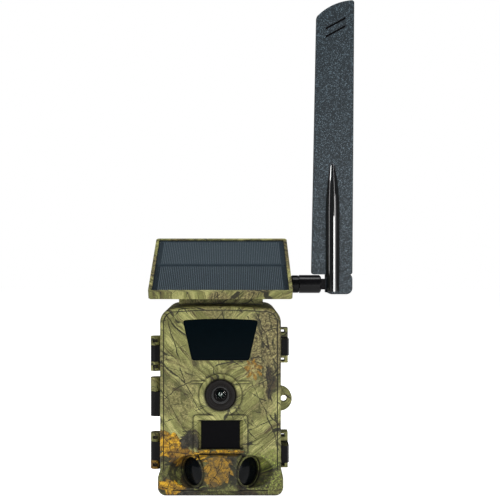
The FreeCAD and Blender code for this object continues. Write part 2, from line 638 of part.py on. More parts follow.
def antenna_blade():
    paddle = slab([("72.7", "165.6"), ("105.6", "165.6"), ("107.1", "386.4"), ("76.8", "373")],
                  both("blade_half", "aerial_y"), corner="2", rise="3.6")
    lobe = slab(rectangle(("84", "105.5"), ("149.7", "167")), both("lobe_half", "aerial_y"), corner="5")
    axis = ("spine_x", "aerial_y")
    spine = [rod("spine_r", "z", ("spine_low", "spine_waist"), axis)]
    for (low, wide), (high, narrow) in zip(SPINE_TAPER, SPINE_TAPER[1:]):
        spine.append(cone((wide, narrow), "z", (low, high), axis))
    slots = []
    for low in SLOT_LOWS:
        slanted = [("84", low), ("100", f"{low}+8.6"), ("100", f"{low}+10.5"), ("84", f"{low}+1.9")]
        slots.append(slab(slanted, ("0", "14")))
    gap = box(("79", "elbow_x+6.4"), both("tongue_half+fit", "aerial_y"), ("148", "165.4"))
    pivot = rod("pin_r+running", "y", ("0", "14"), ("elbow_x", "aerial_z"))
    node("antenna_blade", cut(join(paddle, lobe, *spine), gap, pivot, *slots))


rear_case()
front_cover()
front_optics()
electronics()
keypad()
inner_panel()
batteries()
rear_pieces()
strap_bracket()
door_hinge_barrels()
latch_levers()
panel_neck()
solar_panel()
antenna_joint()
antenna_blade()
doc.recompute()

for item in doc.Objects:
    if "Invalid" in item.State or "Error" in item.State:
        raise RuntimeError(f"{item.Name} ({item.Label}) did not build: {item.State}")
os.makedirs("parts", exist_ok=True)
for item in nodes:
    shape = item.Shape
    if shape.isNull() or not shape.isValid() or not shape.Solids:
        raise RuntimeError(f"{item.Label} has no valid solid")
    shape.exportStep(f"parts/{item.Label}.step")
    print(f"{item.Label}: {len(shape.Solids)} solids, {shape.Volume / 1000:.2f} cm3")
print(len(nodes), "nodes")
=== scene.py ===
import json
import math

import bmesh
import bpy
from mathutils import Matrix, Vector


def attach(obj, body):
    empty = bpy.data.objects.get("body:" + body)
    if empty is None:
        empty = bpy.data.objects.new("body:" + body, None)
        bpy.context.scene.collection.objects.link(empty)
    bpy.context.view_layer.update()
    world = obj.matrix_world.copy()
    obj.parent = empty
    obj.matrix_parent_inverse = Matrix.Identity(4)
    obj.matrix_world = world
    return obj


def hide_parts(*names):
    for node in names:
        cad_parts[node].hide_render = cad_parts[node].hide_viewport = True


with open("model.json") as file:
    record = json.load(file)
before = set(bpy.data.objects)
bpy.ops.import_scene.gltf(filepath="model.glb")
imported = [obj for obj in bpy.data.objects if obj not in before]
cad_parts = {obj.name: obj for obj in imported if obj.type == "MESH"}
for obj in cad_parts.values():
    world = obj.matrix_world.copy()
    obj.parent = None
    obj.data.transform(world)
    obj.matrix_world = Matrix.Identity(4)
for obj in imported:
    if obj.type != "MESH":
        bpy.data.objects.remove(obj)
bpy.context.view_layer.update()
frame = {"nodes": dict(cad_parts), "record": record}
nodes = frame["nodes"]
MM = 0.001
scene = bpy.context.scene


# ---- shader helpers --------------------------------------------------------------------------

class Shader:
    """A material's node tree with short calls for the nodes used here."""

    def __init__(self, name):
        self.material = bpy.data.materials.new(name)
        self.material.use_nodes = True
        self.tree = self.material.node_tree
        self.surface = self.tree.nodes["Principled BSDF"]
        self._object = None

    def node(self, kind, inputs=None, **settings):
        item = self.tree.nodes.new("ShaderNode" + kind)
        for key, value in settings.items():
            setattr(item, key, value)
        for key, value in (inputs or {}).items():
            self.feed(item.inputs[key], value)
        return item

    def feed(self, socket, value):
        if isinstance(value, bpy.types.NodeSocket):
            self.tree.links.new(value, socket)
        elif isinstance(value, (tuple, list)) and len(value) == 3 and len(socket.default_value) == 4:
            socket.default_value = (*value, 1)
        else:
            socket.default_value = value

    def set(self, **values):
        for key, value in values.items():
            self.feed(self.surface.inputs[key.replace("_", " ")], value)
        return self

    def place(self):
        """Object coordinates in millimetres, which stay with the piece as it moves."""
        if self._object is None:
            raw = self.node("TexCoord").outputs["Object"]
            self._object = self.node("VectorMath", {0: raw, 3: 1000.0}, operation="SCALE").outputs[0]
        return self._object

    def xyz(self, vector):
        return self.node("SeparateXYZ", {0: vector}).outputs

    def vector(self, x, y, z=0.0):
        return self.node("CombineXYZ", {0: x, 1: y, 2: z}).outputs[0]

    def math(self, operation, a, b=0.0, c=0.0, clamp=False):
        return self.node("Math", {0: a, 1: b, 2: c}, operation=operation, use_clamp=clamp).outputs[0]

    def noise(self, vector, scale, detail=3.0, roughness=0.55, distortion=0.0):
        inputs = {"Vector": vector, "Scale": scale, "Detail": detail, "Roughness": roughness,
                  "Distortion": distortion}
        return self.node("TexNoise", inputs).outputs["Fac"]

    def step(self, value, low, high):
        """0 below low, 1 above high, smooth between. It falls if low is above high."""
        inputs = {"Value": value, "From Min": low, "From Max": high}
        return self.node("MapRange", inputs, interpolation_type="SMOOTHSTEP").outputs[0]

    def mix(self, factor, a, b, blend="MIX"):
        item = self.node("Mix", data_type="RGBA", blend_type=blend)
        for index, value in ((0, factor), (6, a), (7, b)):
            self.feed(item.inputs[index], value)
        return item.outputs[2]

    def ramp(self, value, stops):
        item = self.node("ValToRGB", {0: value})
        elements = item.color_ramp.elements
        for _ in range(len(stops) - 2):
            elements.new(0.5)
        for element, (position, colour) in zip(elements, stops):
            element.position = position
            element.color = (*colour, 1)
        return item.outputs[0]

    def bump(self, height, strength, distance=0.0002):
        inputs = {"Height": height, "Strength": strength, "Distance": distance}
        self.feed(self.surface.inputs["Normal"], self.node("Bump", inputs).outputs[0])


def rgb(red, green, blue):
    """A screen colour of 0 to 255 as linear light."""
    return tuple(((v / 255 + 0.055) / 1.055) ** 2.4 if v > 10 else v / 255 / 12.92 for v in (red, green, blue))


# ---- camouflage --------------------------------------------------------------------------------

KHAKI = rgb(138, 136, 88)
OLIVE = rgb(98, 96, 54)
MOSS = rgb(74, 80, 34)
LICHEN = rgb(146, 152, 78)
BARK = rgb(70, 58, 38)
DARK = rgb(18, 16, 10)
CHARCOAL = rgb(62, 58, 50)
AMBER = rgb(206, 156, 34)
OCHRE = rgb(150, 112, 32)
RUST = rgb(92, 58, 16)
STRAW = rgb(176, 168, 118)

# centre across, centre up, angle in degrees, half length, half width, colour, edge colour
LEAVES = [
    (-36, 21, 58, 11, 6, OLIVE, DARK),
    (-22, 12, 74, 9, 5, BARK, DARK),
    (8, 16, -38, 13, 7, OLIVE, DARK),
    (30, 16, 38, 12, 6, MOSS, DARK),
    (-37, 38, -52, 17, 10, AMBER, RUST),
    (-29, 31, -8, 11, 6, OCHRE, RUST),
    (-27, 42, 62, 9, 4.5, CHARCOAL, DARK),
    (-21, 42, -66, 9, 3.6, CHARCOAL, DARK),
    (2, 32, 4, 15, 4.4, AMBER, RUST),
    (-16, 30, 34, 9, 5, AMBER, BARK),
    (-7, 18, 66, 15, 11, OCHRE, BARK),
    (4, 27, 22, 6, 2.8, BARK, DARK),
    (-35, 7, -12, 14, 7, AMBER, RUST),
    (-24, 3, 8, 10, 3.4, CHARCOAL, DARK),
    (16, 4, -6, 12, 3.6, BARK, DARK),
    (40, 24, 25, 6, 2.6, LICHEN, MOSS),
    (33, 25, -28, 5, 2.2, LICHEN, MOSS),
    (39, 83, 78, 8, 2.8, DARK, BARK),
    (37, 94, 100, 7, 2.2, BARK, DARK),
]
FLOWER = (24, 96)
PETALS = 7


def leaf_group():
    """A node group that draws one leaf: how far inside it a point is, and where its veins run."""
    group = bpy.data.node_groups.new("leaf", "ShaderNodeTree")
    for name, kind in (("Point", "NodeSocketVector"), ("Centre", "NodeSocketVector"),
                       ("Angle", "NodeSocketFloat"), ("Length", "NodeSocketFloat"), ("Width", "NodeSocketFloat")):
        group.interface.new_socket(name, in_out="INPUT", socket_type=kind)
    for name in ("Inside", "Vein", "Edge", "Shadow"):
        group.interface.new_socket(name, in_out="OUTPUT", socket_type="NodeSocketFloat")
    return group


def fill_leaf_group(group):
    pen = Shader.__new__(Shader)
    pen.tree = group
    start = group.nodes.new("NodeGroupInput").outputs
    end = group.nodes.new("NodeGroupOutput").inputs
    offset = pen.node("VectorMath", {0: start["Point"], 1: start["Centre"]}, operation="SUBTRACT").outputs[0]
    turned = pen.node("VectorRotate", {"Vector": offset, "Angle": start["Angle"]}, rotation_type="Z_AXIS",
                      invert=True).outputs[0]
    along, across, _ = pen.xyz(turned)
    part = pen.math("DIVIDE", along, start["Length"])
    side = pen.math("ABSOLUTE", across)
    taper = pen.math("SUBTRACT", 1.0, pen.math("POWER", pen.math("ABSOLUTE", part), 1.7))
    lobes = pen.math("MULTIPLY_ADD", pen.math("FRACT", pen.math("MULTIPLY", part, 2.3)), -0.45, 1.15)
    reach = pen.math("MULTIPLY", pen.math("MULTIPLY", taper, lobes), start["Width"])
    depth = pen.math("SUBTRACT", reach, side)
    pen.feed(end["Inside"], pen.step(depth, 0.0, 0.22))
    pen.feed(end["Edge"], pen.step(depth, 1.3, 0.0))
    pen.feed(end["Shadow"], pen.step(pen.math("MULTIPLY_ADD", across, -0.35, depth), -1.3, 0.0))
    ribs = pen.math("SINE", pen.math("SUBTRACT", pen.math("MULTIPLY", along, 1.5), pen.math("MULTIPLY", side, 1.2)))
    fine = pen.step(ribs, 0.93, 0.995)
    spine = pen.step(side, 0.4, 0.12)
    pen.feed(end["Vein"], pen.math("MAXIMUM", spine, pen.math("MULTIPLY", fine, 0.7)))


LEAF = leaf_group()
fill_leaf_group(LEAF)


def draw_leaf(pen, point, centre, angle, length, width):
    return pen.node("Group", {"Point": point, "Centre": centre, "Angle": angle, "Length": length, "Width": width},
                    node_tree=LEAF).outputs


def stretched(pen, point, angle, squeeze):
    """The point in a frame turned by an angle in degrees and squeezed along its first axis."""
    item = pen.node("VectorRotate", {"Vector": point, "Angle": math.radians(angle)}, rotation_type="Z_AXIS").outputs[0]
    along, across, _ = pen.xyz(item)
    return pen.vector(pen.math("MULTIPLY", along, squeeze), across)


def streaks(pen, point, angle, scale):
    """Feathered grain that runs along one direction."""
    return pen.noise(stretched(pen, point, angle, 0.06), scale, 6.0, 0.7, 0.15)


def cell_edges(pen, point, cell):
    inputs = {"Vector": point, "Scale": 1 / cell}
    return pen.node("TexVoronoi", inputs, voronoi_dimensions="2D", feature="DISTANCE_TO_EDGE").outputs["Distance"]


def twigs(pen, point, angle, cell, width, low=0.42, high=0.62):
    """Thin broken lines that run mostly one way."""
    edge = cell_edges(pen, stretched(pen, point, angle, 0.16), cell)
    broken = pen.noise(point, 0.08, 3.0, 0.6)
    limit = pen.math("MULTIPLY", pen.step(broken, low, high), width / cell)
    return pen.step(pen.math("SUBTRACT", edge, limit), 0.006, -0.002)


def blades(pen, point, angle, cell):
    """Long overlapping blades of grass and bark: their tone, and the dark line between them."""
    place = stretched(pen, point, angle, 0.12)
    near = pen.node("TexVoronoi", {"Vector": place, "Scale": 1 / cell}, voronoi_dimensions="2D").outputs["Color"]
    edge = cell_edges(pen, place, cell)
    return pen.math("MULTIPLY_ADD", pen.step(edge, 0.0, 0.3), 0.4, pen.math("MULTIPLY", pen.xyz(near)[0], 0.6)), edge


def scattered(pen, point, cell, density, seed):
    """Leaves strewn at random, one to a cell."""
    moved = pen.node("VectorMath", {0: point, 1: (seed, seed * 1.7, 0)}, operation="ADD").outputs[0]
    found = pen.node("TexVoronoi", {"Vector": moved, "Scale": 1 / cell, "Randomness": 0.85}, voronoi_dimensions="2D")
    red, green, blue = pen.xyz(found.outputs["Color"])
    leaf = draw_leaf(pen, moved, found.outputs["Position"], pen.math("MULTIPLY", red, 6.283), cell * 0.52, cell * 0.2)
    return pen.math("MULTIPLY", leaf["Inside"], pen.step(green, density, density - 0.02)), leaf, blue


def wobbled(pen, point, scale, reach):
    """The point pushed about by noise, by up to half of reach each way."""
    shake = pen.node("TexNoise", {"Vector": point, "Scale": scale, "Detail": 2.0}).outputs["Color"]
    shake = pen.node("VectorMath", {0: shake, 1: (0.5, 0.5, 0.5)}, operation="SUBTRACT").outputs[0]
    inputs = {0: shake, 1: (reach, reach, 0.0), 2: point}
    return pen.node("VectorMath", inputs, operation="MULTIPLY_ADD").outputs[0]


def spot(pen, flat, centre, size, soft):
    """A ragged patch: 1 at its centre, 0 outside its size, over a soft edge."""
    gap = pen.node("VectorMath", {0: flat, 1: (*centre, 0)}, operation="SUBTRACT").outputs[0]
    gap = pen.node("VectorMath", {0: gap, 1: (1 / size[0], 1 / size[1], 0)}, operation="MULTIPLY").outputs[0]
    away = pen.node("VectorMath", {0: gap}, operation="LENGTH").outputs["Value"]
    ragged = pen.math("MULTIPLY_ADD", pen.math("SUBTRACT", pen.noise(flat, 0.16, 5.0, 0.7), 0.5), 1.6, away)
    return pen.step(ragged, 1.0 + soft, 1.0 - soft)


def flower(pen, point):
    """A small ragged flower: its petals, and how far out from its centre a point is."""
    gap = pen.node("VectorMath", {0: point, 1: (*FLOWER, 0)}, operation="SUBTRACT").outputs[0]
    across, up, _ = pen.xyz(gap)
    away = pen.node("VectorMath", {0: gap}, operation="LENGTH").outputs["Value"]
    turn = pen.math("MULTIPLY", pen.math("ARCTAN2", up, across), PETALS / 2)
    reach = pen.math("MULTIPLY_ADD", pen.math("ABSOLUTE", pen.math("SINE", turn)), 6.4, 2.0)
    return pen.step(pen.math("SUBTRACT", reach, away), 0.0, 0.5), pen.step(away, 5.0, 1.0)


def camouflage(name, tint, placed=True):
    """Printed camouflage: feathered grass and bark, twigs, and on the case bark, moss, a flower and fallen leaves,
    with painted shade in its creases and recesses.
    """
    pen = Shader(name)
    x, y, z = pen.xyz(pen.place())
    flat = pen.vector(pen.math("MULTIPLY_ADD", y, 0.8, pen.math("ADD", x, 30.4)),
                      pen.math("MULTIPLY_ADD", y, 0.7, pen.math("ADD", z, 26.6)))
    point = wobbled(pen, wobbled(pen, flat, 0.04, 12.0), 0.4, 1.2)
    across, up, _ = pen.xyz(flat)

    right = pen.step(pen.math("MULTIPLY_ADD", pen.noise(flat, 0.05, 1.0), 34.0, across), 12.0, 30.0)
    grain = pen.mix(right, streaks(pen, point, 48, 0.42), streaks(pen, point, -38, 0.42))
    tone_left, edge_left = blades(pen, point, 50, 12.0)
    tone_right, edge_right = blades(pen, point, -36, 13.0)
    blade = pen.mix(right, tone_left, tone_right)
    edge = pen.mix(right, edge_left, edge_right)
    mixed = pen.math("MULTIPLY_ADD", blade, 0.2, pen.math("MULTIPLY", grain, 0.84))
    colour = pen.ramp(mixed, [(0.38, BARK), (0.44, OLIVE), (0.53, KHAKI), (0.64, STRAW)])
    tone = pen.noise(flat, 0.05, 5.0, 0.62)
    colour = pen.mix(pen.math("MULTIPLY", pen.step(tone, 0.47, 0.6), 0.7), colour, OLIVE)
    ridge = pen.math("MULTIPLY", pen.step(edge, 0.07, 0.03), pen.step(edge, 0.0, 0.03))
    colour = pen.mix(pen.math("MULTIPLY", ridge, 0.4), colour, STRAW)
    colour = pen.mix(pen.math("MULTIPLY", pen.step(edge, 0.025, 0.0), 0.5), colour, BARK)

    inside, leaf, pick = scattered(pen, point, 24.0, 0.4, 131.0)
    paint = pen.mix(pick, OLIVE, KHAKI)
    paint = pen.mix(pen.math("MULTIPLY", leaf["Vein"], 0.5), paint, DARK)
    paint = pen.mix(pen.math("MULTIPLY", leaf["Edge"], 0.4), paint, BARK)
    colour = pen.mix(pen.math("MULTIPLY", inside, 0.6), colour, paint)

    rough = pen.noise(point, 0.6, 6.0, 0.78)
    zone = pen.step(pen.noise(pen.vector(across, up, 9.0), 0.035, 2.0), 0.5, 0.6)
    if placed:
        zone = pen.math("MAXIMUM", pen.math("MULTIPLY", zone, 0.6), spot(pen, flat, (36, 114), (17, 32), 0.3))
    crust = pen.ramp(rough, [(0.38, DARK), (0.46, BARK), (0.54, rgb(124, 110, 80)), (0.66, STRAW)])
    crack = pen.math("MULTIPLY", twigs(pen, point, 84, 7.0, 0.7, 0.4, 0.56), pen.step(rough, 0.34, 0.5))
    crust = pen.mix(crack, crust, DARK)
    colour = pen.mix(pen.math("MULTIPLY", zone, 0.85), colour, crust)

    lines = pen.math("MAXIMUM", twigs(pen, point, 62, 15.0, 0.3, 0.38, 0.56), twigs(pen, point, -30, 19.0, 0.3))
    lines = pen.math("MAXIMUM", lines, twigs(pen, point, 8, 23.0, 0.35, 0.46, 0.62))
    colour = pen.mix(pen.math("MULTIPLY", lines, 0.9), colour, DARK)
    thick = pen.math("MULTIPLY", twigs(pen, point, 36, 33.0, 1.3, 0.5, 0.7), pen.step(rough, 0.4, 0.5))
    colour = pen.mix(pen.math("MULTIPLY", thick, 0.85), colour, pen.mix(rough, DARK, BARK))

    if placed:
        litter = spot(pen, flat, (0, 10), (60, 24), 0.2)
        colour = pen.mix(pen.math("MULTIPLY", litter, 0.8), colour, pen.ramp(
            rough, [(0.36, DARK), (0.46, BARK), (0.52, MOSS), (0.62, KHAKI)]))
        moss = pen.math("MULTIPLY", spot(pen, flat, (34, 20), (20, 15), 0.3), pen.step(rough, 0.46, 0.54))
        colour = pen.mix(moss, colour, pen.mix(pen.step(rough, 0.48, 0.6), MOSS, LICHEN))
        mottle = pen.step(pen.noise(point, 0.24, 5.0, 0.65), 0.42, 0.6)
        pits = pen.step(pen.noise(flat, 1.1, 4.0, 0.8), 0.6, 0.66)
        fork = pen.step(cell_edges(pen, wobbled(pen, flat, 0.5, 3.0), 6.5), 0.05, 0.01)
        rot = pen.step(pen.noise(flat, 0.13, 5.0, 0.7), 0.5, 0.58)
        for u, v, angle, length, width, fill, rim in LEAVES:
            leaf = draw_leaf(pen, point, (u, v, 0), math.radians(angle), length, width)
            colour = pen.mix(pen.math("MULTIPLY", leaf["Shadow"], 0.7), colour, DARK)
            paint = pen.mix(pen.math("MULTIPLY", mottle, 0.8), fill, rim)
            paint = pen.mix(pen.math("MULTIPLY", rot, 0.6), paint, BARK)
            paint = pen.mix(pen.math("MAXIMUM", pen.math("MULTIPLY", pits, 0.5), fork), paint, DARK)
            paint = pen.mix(pen.math("MULTIPLY", leaf["Edge"], 0.65), paint, rim)
            paint = pen.mix(pen.math("MULTIPLY", leaf["Vein"], 0.75), paint, DARK)
            colour = pen.mix(leaf["Inside"], colour, paint)
        inside, centre = flower(pen, wobbled(pen, point, 0.35, 6.0))
        paint = pen.mix(pen.step(rough, 0.4, 0.6), RUST, pen.mix(centre, OCHRE, STRAW))
        colour = pen.mix(pen.math("MULTIPLY", inside, 0.85), colour, paint)

    speck = pen.noise(pen.place(), 2.2, 4.0, 0.75)
    colour = pen.mix(0.6, colour, pen.ramp(speck, [(0.34, (0.12, 0.12, 0.12)), (0.66, (0.9, 0.9, 0.9))]), "OVERLAY")
    # Painted shade: the colour is darkened toward DARK in creases, grooves and recesses, where the ambient occlusion
    # says shade falls.
    occlusion_for_painted_shade = pen.node("AmbientOcclusion", {"Distance": 0.0026}, samples=8).outputs["AO"]
    colour = pen.mix(pen.math("MULTIPLY", pen.step(occlusion_for_painted_shade, 0.97, 0.6), 0.9), colour, DARK)
    colour = pen.mix(1.0, colour, tint, "MULTIPLY")
    pen.set(Base_Color=colour, Roughness=pen.math("MULTIPLY_ADD", speck, 0.2, 0.45), Specular_IOR_Level=0.2)
    pen.bump(pen.noise(pen.place(), 5.0, 2.0), 0.12)
    return pen.material


# ---- other materials -----------------------------------------------------------------------------

def plastic(name, colour, roughness, grain=0.1, scale=4.0, coat=0.0):
    """Moulded plastic with a fine texture and slightly uneven gloss."""
    pen = Shader(name)
    spot = pen.noise(pen.place(), scale, 4.0, 0.65)
    wear = pen.noise(pen.place(), 0.12, 3.0)
    tint = pen.mix(pen.math("MULTIPLY", wear, 0.35), colour, tuple(min(1.0, v * 1.7 + 0.001) for v in colour))
    pen.set(Base_Color=tint, Roughness=pen.math("MULTIPLY_ADD", spot, 0.14, roughness - 0.07), Coat_Weight=coat,
            Coat_Roughness=0.06, Specular_IOR_Level=0.08)
    pen.bump(spot, grain)
    return pen.material


def metal(name, colour, roughness, direction=(0.3, 0.3, 6.0)):
    """Turned or brushed metal with fine marks along one way."""
    pen = Shader(name)
    stretched = pen.node("VectorMath", {0: pen.place(), 1: direction}, operation="MULTIPLY").outputs[0]
    marks = pen.noise(stretched, 2.0, 3.0)
    tint = pen.mix(marks, tuple(v * 0.8 for v in colour), colour)
    pen.set(Base_Color=tint, Metallic=1.0, Roughness=pen.math("MULTIPLY_ADD", marks, 0.2, roughness - 0.1))
    pen.bump(marks, 0.05)
    return pen.material


def window(name, colour, roughness, alpha=1.0, ribs=0.0, level=0.14):
    """A dark polished window. ribs gives it the fine lines of a moulded lens."""
    pen = Shader(name)
    haze = pen.noise(pen.place(), 0.25, 3.0)
    pen.set(Base_Color=pen.mix(haze, colour, tuple(v * 1.5 for v in colour)),
            Roughness=pen.math("MULTIPLY_ADD", haze, 0.06, roughness), Alpha=alpha, IOR=1.5, Specular_IOR_Level=level)
    if ribs:
        pen.bump(pen.math("SINE", pen.math("MULTIPLY", pen.xyz(pen.place())[2], ribs)), 0.06)
    return pen.material


def coated_glass(name, colour, film):
    pen = Shader(name)
    smear = pen.noise(pen.place(), 0.6, 3.0)
    pen.set(Base_Color=pen.mix(smear, colour, tuple(v * 1.3 for v in colour)), Roughness=0.03, IOR=1.7,
            Coat_Weight=1.0, Coat_Roughness=0.02, Thin_Film_Thickness=film, Thin_Film_IOR=1.9)
    return pen.material


def circuit(name):
    pen = Shader(name)
    x, y, z = pen.xyz(pen.place())
    cell = pen.node("TexBrick", {"Vector": pen.vector(x, z), "Scale": 0.35, "Mortar Size": 0.05,
                                 "Color1": (0, 0, 0, 1), "Color2": (0.25, 0.25, 0.25, 1), "Mortar": (1, 1, 1, 1)})
    track = pen.step(cell.outputs["Color"], 0.4, 0.9)
    pen.set(Base_Color=pen.mix(track, rgb(18, 74, 44), rgb(46, 122, 78)), Roughness=0.35)
    pen.bump(track, 0.15)
    return pen.material


def painted_sparkle(name, colour):
    """Fine textured plastic whose grains are painted lighter as glints, a painted highlight, and are glossier there.
    """
    pen = Shader(name)
    grains = pen.node("TexVoronoi", {"Vector": pen.place(), "Scale": 2.6}).outputs
    painted_glint = pen.step(pen.node("SeparateColor", {0: grains["Color"]}).outputs[0], 0.8, 0.97)
    mottle = pen.noise(pen.place(), 1.4, 4.0, 0.7)
    base = pen.mix(mottle, tuple(v * 0.6 for v in colour), tuple(v * 1.35 for v in colour))
    # Painted highlight: the glint grains get a light grey-blue in the base colour; the lower roughness there is real
    # gloss.
    pen.set(Base_Color=pen.mix(pen.math("MULTIPLY", painted_glint, 0.6), base, rgb(92, 108, 118)),
            Roughness=pen.math("MULTIPLY_ADD", painted_glint, -0.15, 0.5), Specular_IOR_Level=0.2)
    pen.bump(pen.noise(pen.place(), 2.4, 3.0, 0.7), 0.35)
    return pen.material


def silicon(name):
    """Dark crystalline cells with fine grain."""
    pen = Shader(name)
    x, y, z = pen.xyz(pen.place())
    grain = pen.noise(pen.vector(pen.math("MULTIPLY", x, 3.0), pen.math("MULTIPLY", z, 0.5)), 0.8, 4.0, 0.7)
    pen.set(Base_Color=pen.mix(grain, rgb(15, 22, 27), rgb(32, 42, 48)), Roughness=0.35, Specular_IOR_Level=0.2)
    return pen.material


def clear(name, colour, alpha, roughness=0.04):
    pen = Shader(name)
    haze = pen.noise(pen.place(), 0.2, 2.0)
    pen.set(Base_Color=colour, Roughness=pen.math("MULTIPLY_ADD", haze, 0.05, roughness), Alpha=alpha, IOR=1.5,
            Specular_IOR_Level=0.2)
    return pen.material


def cell_sleeve(name):
    """A battery's printed sleeve: dark with a coloured band, no lettering."""
    pen = Shader(name)
    z = pen.xyz(pen.place())[2]
    part = pen.math("FRACT", pen.math("DIVIDE", pen.math("SUBTRACT", z, 18.6), 53.8))
    band = pen.step(part, 0.62, 0.64)
    scuff = pen.noise(pen.place(), 0.8, 3.0)
    colour = pen.mix(band, rgb(26, 30, 34), rgb(168, 112, 40))
    pen.set(Base_Color=pen.mix(pen.math("MULTIPLY", scuff, 0.2), colour, rgb(120, 120, 120)), Roughness=0.3)
    return pen.material


MATERIALS = {
    "camo_plastic": camouflage("camo_rear", (0.55, 0.575, 0.48)),
    "camo_door": camouflage("camo_front", (0.55, 0.575, 0.48)),
    "camo_panel": camouflage("camo_panel", (0.55, 0.575, 0.48), placed=False),
    "black_plastic": plastic("black_plastic", rgb(5, 5, 6), 0.24, 0.05),
    "dark_window": window("infrared_window", rgb(1, 4, 6), 0.02, level=0.02),
    "lens_black": plastic("lens_black", rgb(15, 13, 12), 0.5, 0.15),
    "lens_glass": coated_glass("lens_glass", rgb(4, 14, 13), 520.0),
    "pir_lens": window("sensor_dome", rgb(2, 3, 4), 0.16, ribs=2.5, level=0.08),
    "circuit_board": circuit("circuit_board"),
    "led_clear": clear("led_epoxy", rgb(96, 112, 150), 0.9, 0.1),
    "steel": metal("steel", rgb(176, 176, 174), 0.34),
    "brass": metal("brass", rgb(204, 170, 96), 0.3),
    "cell_wrap": cell_sleeve("cell_sleeve"),
    "rubber": plastic("rubber", rgb(24, 24, 24), 0.7, 0.2),
    "grey_plastic": plastic("grey_plastic", rgb(58, 60, 60), 0.5, 0.15),
    "display": window("display", rgb(10, 12, 16), 0.08),
    "solar_cell": silicon("solar_cell"),
    "panel_glass": clear("panel_laminate", rgb(40, 52, 60), 0.1, 0.06),
    "antenna_body": painted_sparkle("antenna_texture", rgb(10, 19, 24)),
    "antenna_gloss": plastic("antenna_gloss", rgb(5, 5, 6), 0.2, 0.02, coat=0.1),
    "shield": metal("shield_can", rgb(190, 190, 186), 0.4, (3.0, 0.3, 0.3)),
}

for part in frame["record"]["subparts"]:
    mesh = nodes[part["node"]].data
    mesh.materials.clear()
    mesh.materials.append(MATERIALS[part["material_slot"]])


# ---- detail pieces ---------------------------------------------------------------------------------

def piece(name, mesh, material, body, slot, *replaced):
    item = bpy.data.objects.new(name, mesh)
    scene.collection.objects.link(item)
    mesh.materials.append(MATERIALS[material])
    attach(item, body)
    if replaced:
        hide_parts(*replaced)
    return item


def frame_along(centre, axis):
    """A matrix that carries the Z axis onto axis and the origin to centre, given in millimetres."""
    turn = Vector((0, 0, 1)).rotation_difference(Vector(axis)).to_matrix().to_4x4()
    return Matrix.Translation(Vector(centre) * MM) @ turn @ Matrix.Scale(MM, 4)


def finished(name, build, place=None):
    """The mesh that a bmesh holds, carried to its place, smooth but for its sharp edges."""
    bmesh.ops.recalc_face_normals(build, faces=build.faces)
    mesh = bpy.data.meshes.new(name)
    build.to_mesh(mesh)
    build.free()
    if place:
        mesh.transform(place)
    mesh.shade_smooth()
    mesh.set_sharp_from_angle(angle=math.radians(32))
    return mesh


def turn_profile(build, profile, place, segments=64, closed=False):
    """Add a solid turned from radius and height pairs about the Z axis of a frame. Return its rings."""
    rings = []
    for radius, height in profile:
        if radius < 1e-6:
            rings.append([build.verts.new(place @ Vector((0, 0, height)))])
            continue
        angles = (2 * math.pi * n / segments for n in range(segments))
        rings.append([build.verts.new(place @ Vector((radius * math.cos(t), radius * math.sin(t), height)))
                      for t in angles])
    pairs = list(zip(rings, rings[1:]))
    if closed:
        pairs.append((rings[-1], rings[0]))
    for low, high in pairs:
        for n in range(segments):
            after = (n + 1) % segments
            corners = [low[n % len(low)], low[after % len(low)], high[after % len(high)], high[n % len(high)]]
            unique = list(dict.fromkeys(corners))
            if len(unique) > 2:
                build.faces.new(unique)
    return rings


def lathe(name, profile, place, segments=72, closed=True):
    build = bmesh.new()
    turn_profile(build, profile, place, segments, closed)
    return finished(name, build)


def add_block(build, low, high, place):
    made = bmesh.ops.create_cube(build, size=1.0)["verts"]
    bmesh.ops.scale(build, vec=[h - l for l, h in zip(low, high)], verts=made)
    bmesh.ops.translate(build, vec=[(l + h) / 2 for l, h in zip(low, high)], verts=made)
    bmesh.ops.transform(build, matrix=place, verts=made)


def blocks(name, boxes, place):
    """One mesh of many boxes, each given by two corners in millimetres in a frame."""
    build = bmesh.new()
    for low, high in boxes:
        add_block(build, low, high, place)
    return finished(name, build)


def add_prism(build, outline, low, high, place):
    """A flat shape of x, y points raised between two heights of a frame."""
    rings = [[build.verts.new(place @ Vector((x, y, z))) for x, y in outline] for z in (low, high)]
    for n in range(len(outline)):
        after = (n + 1) % len(outline)
        build.faces.new((rings[0][n], rings[0][after], rings[1][after], rings[1][n]))
    build.faces.new(rings[1])
    build.faces.new(list(reversed(rings[0])))


LENS = (0, -34, 76.5)


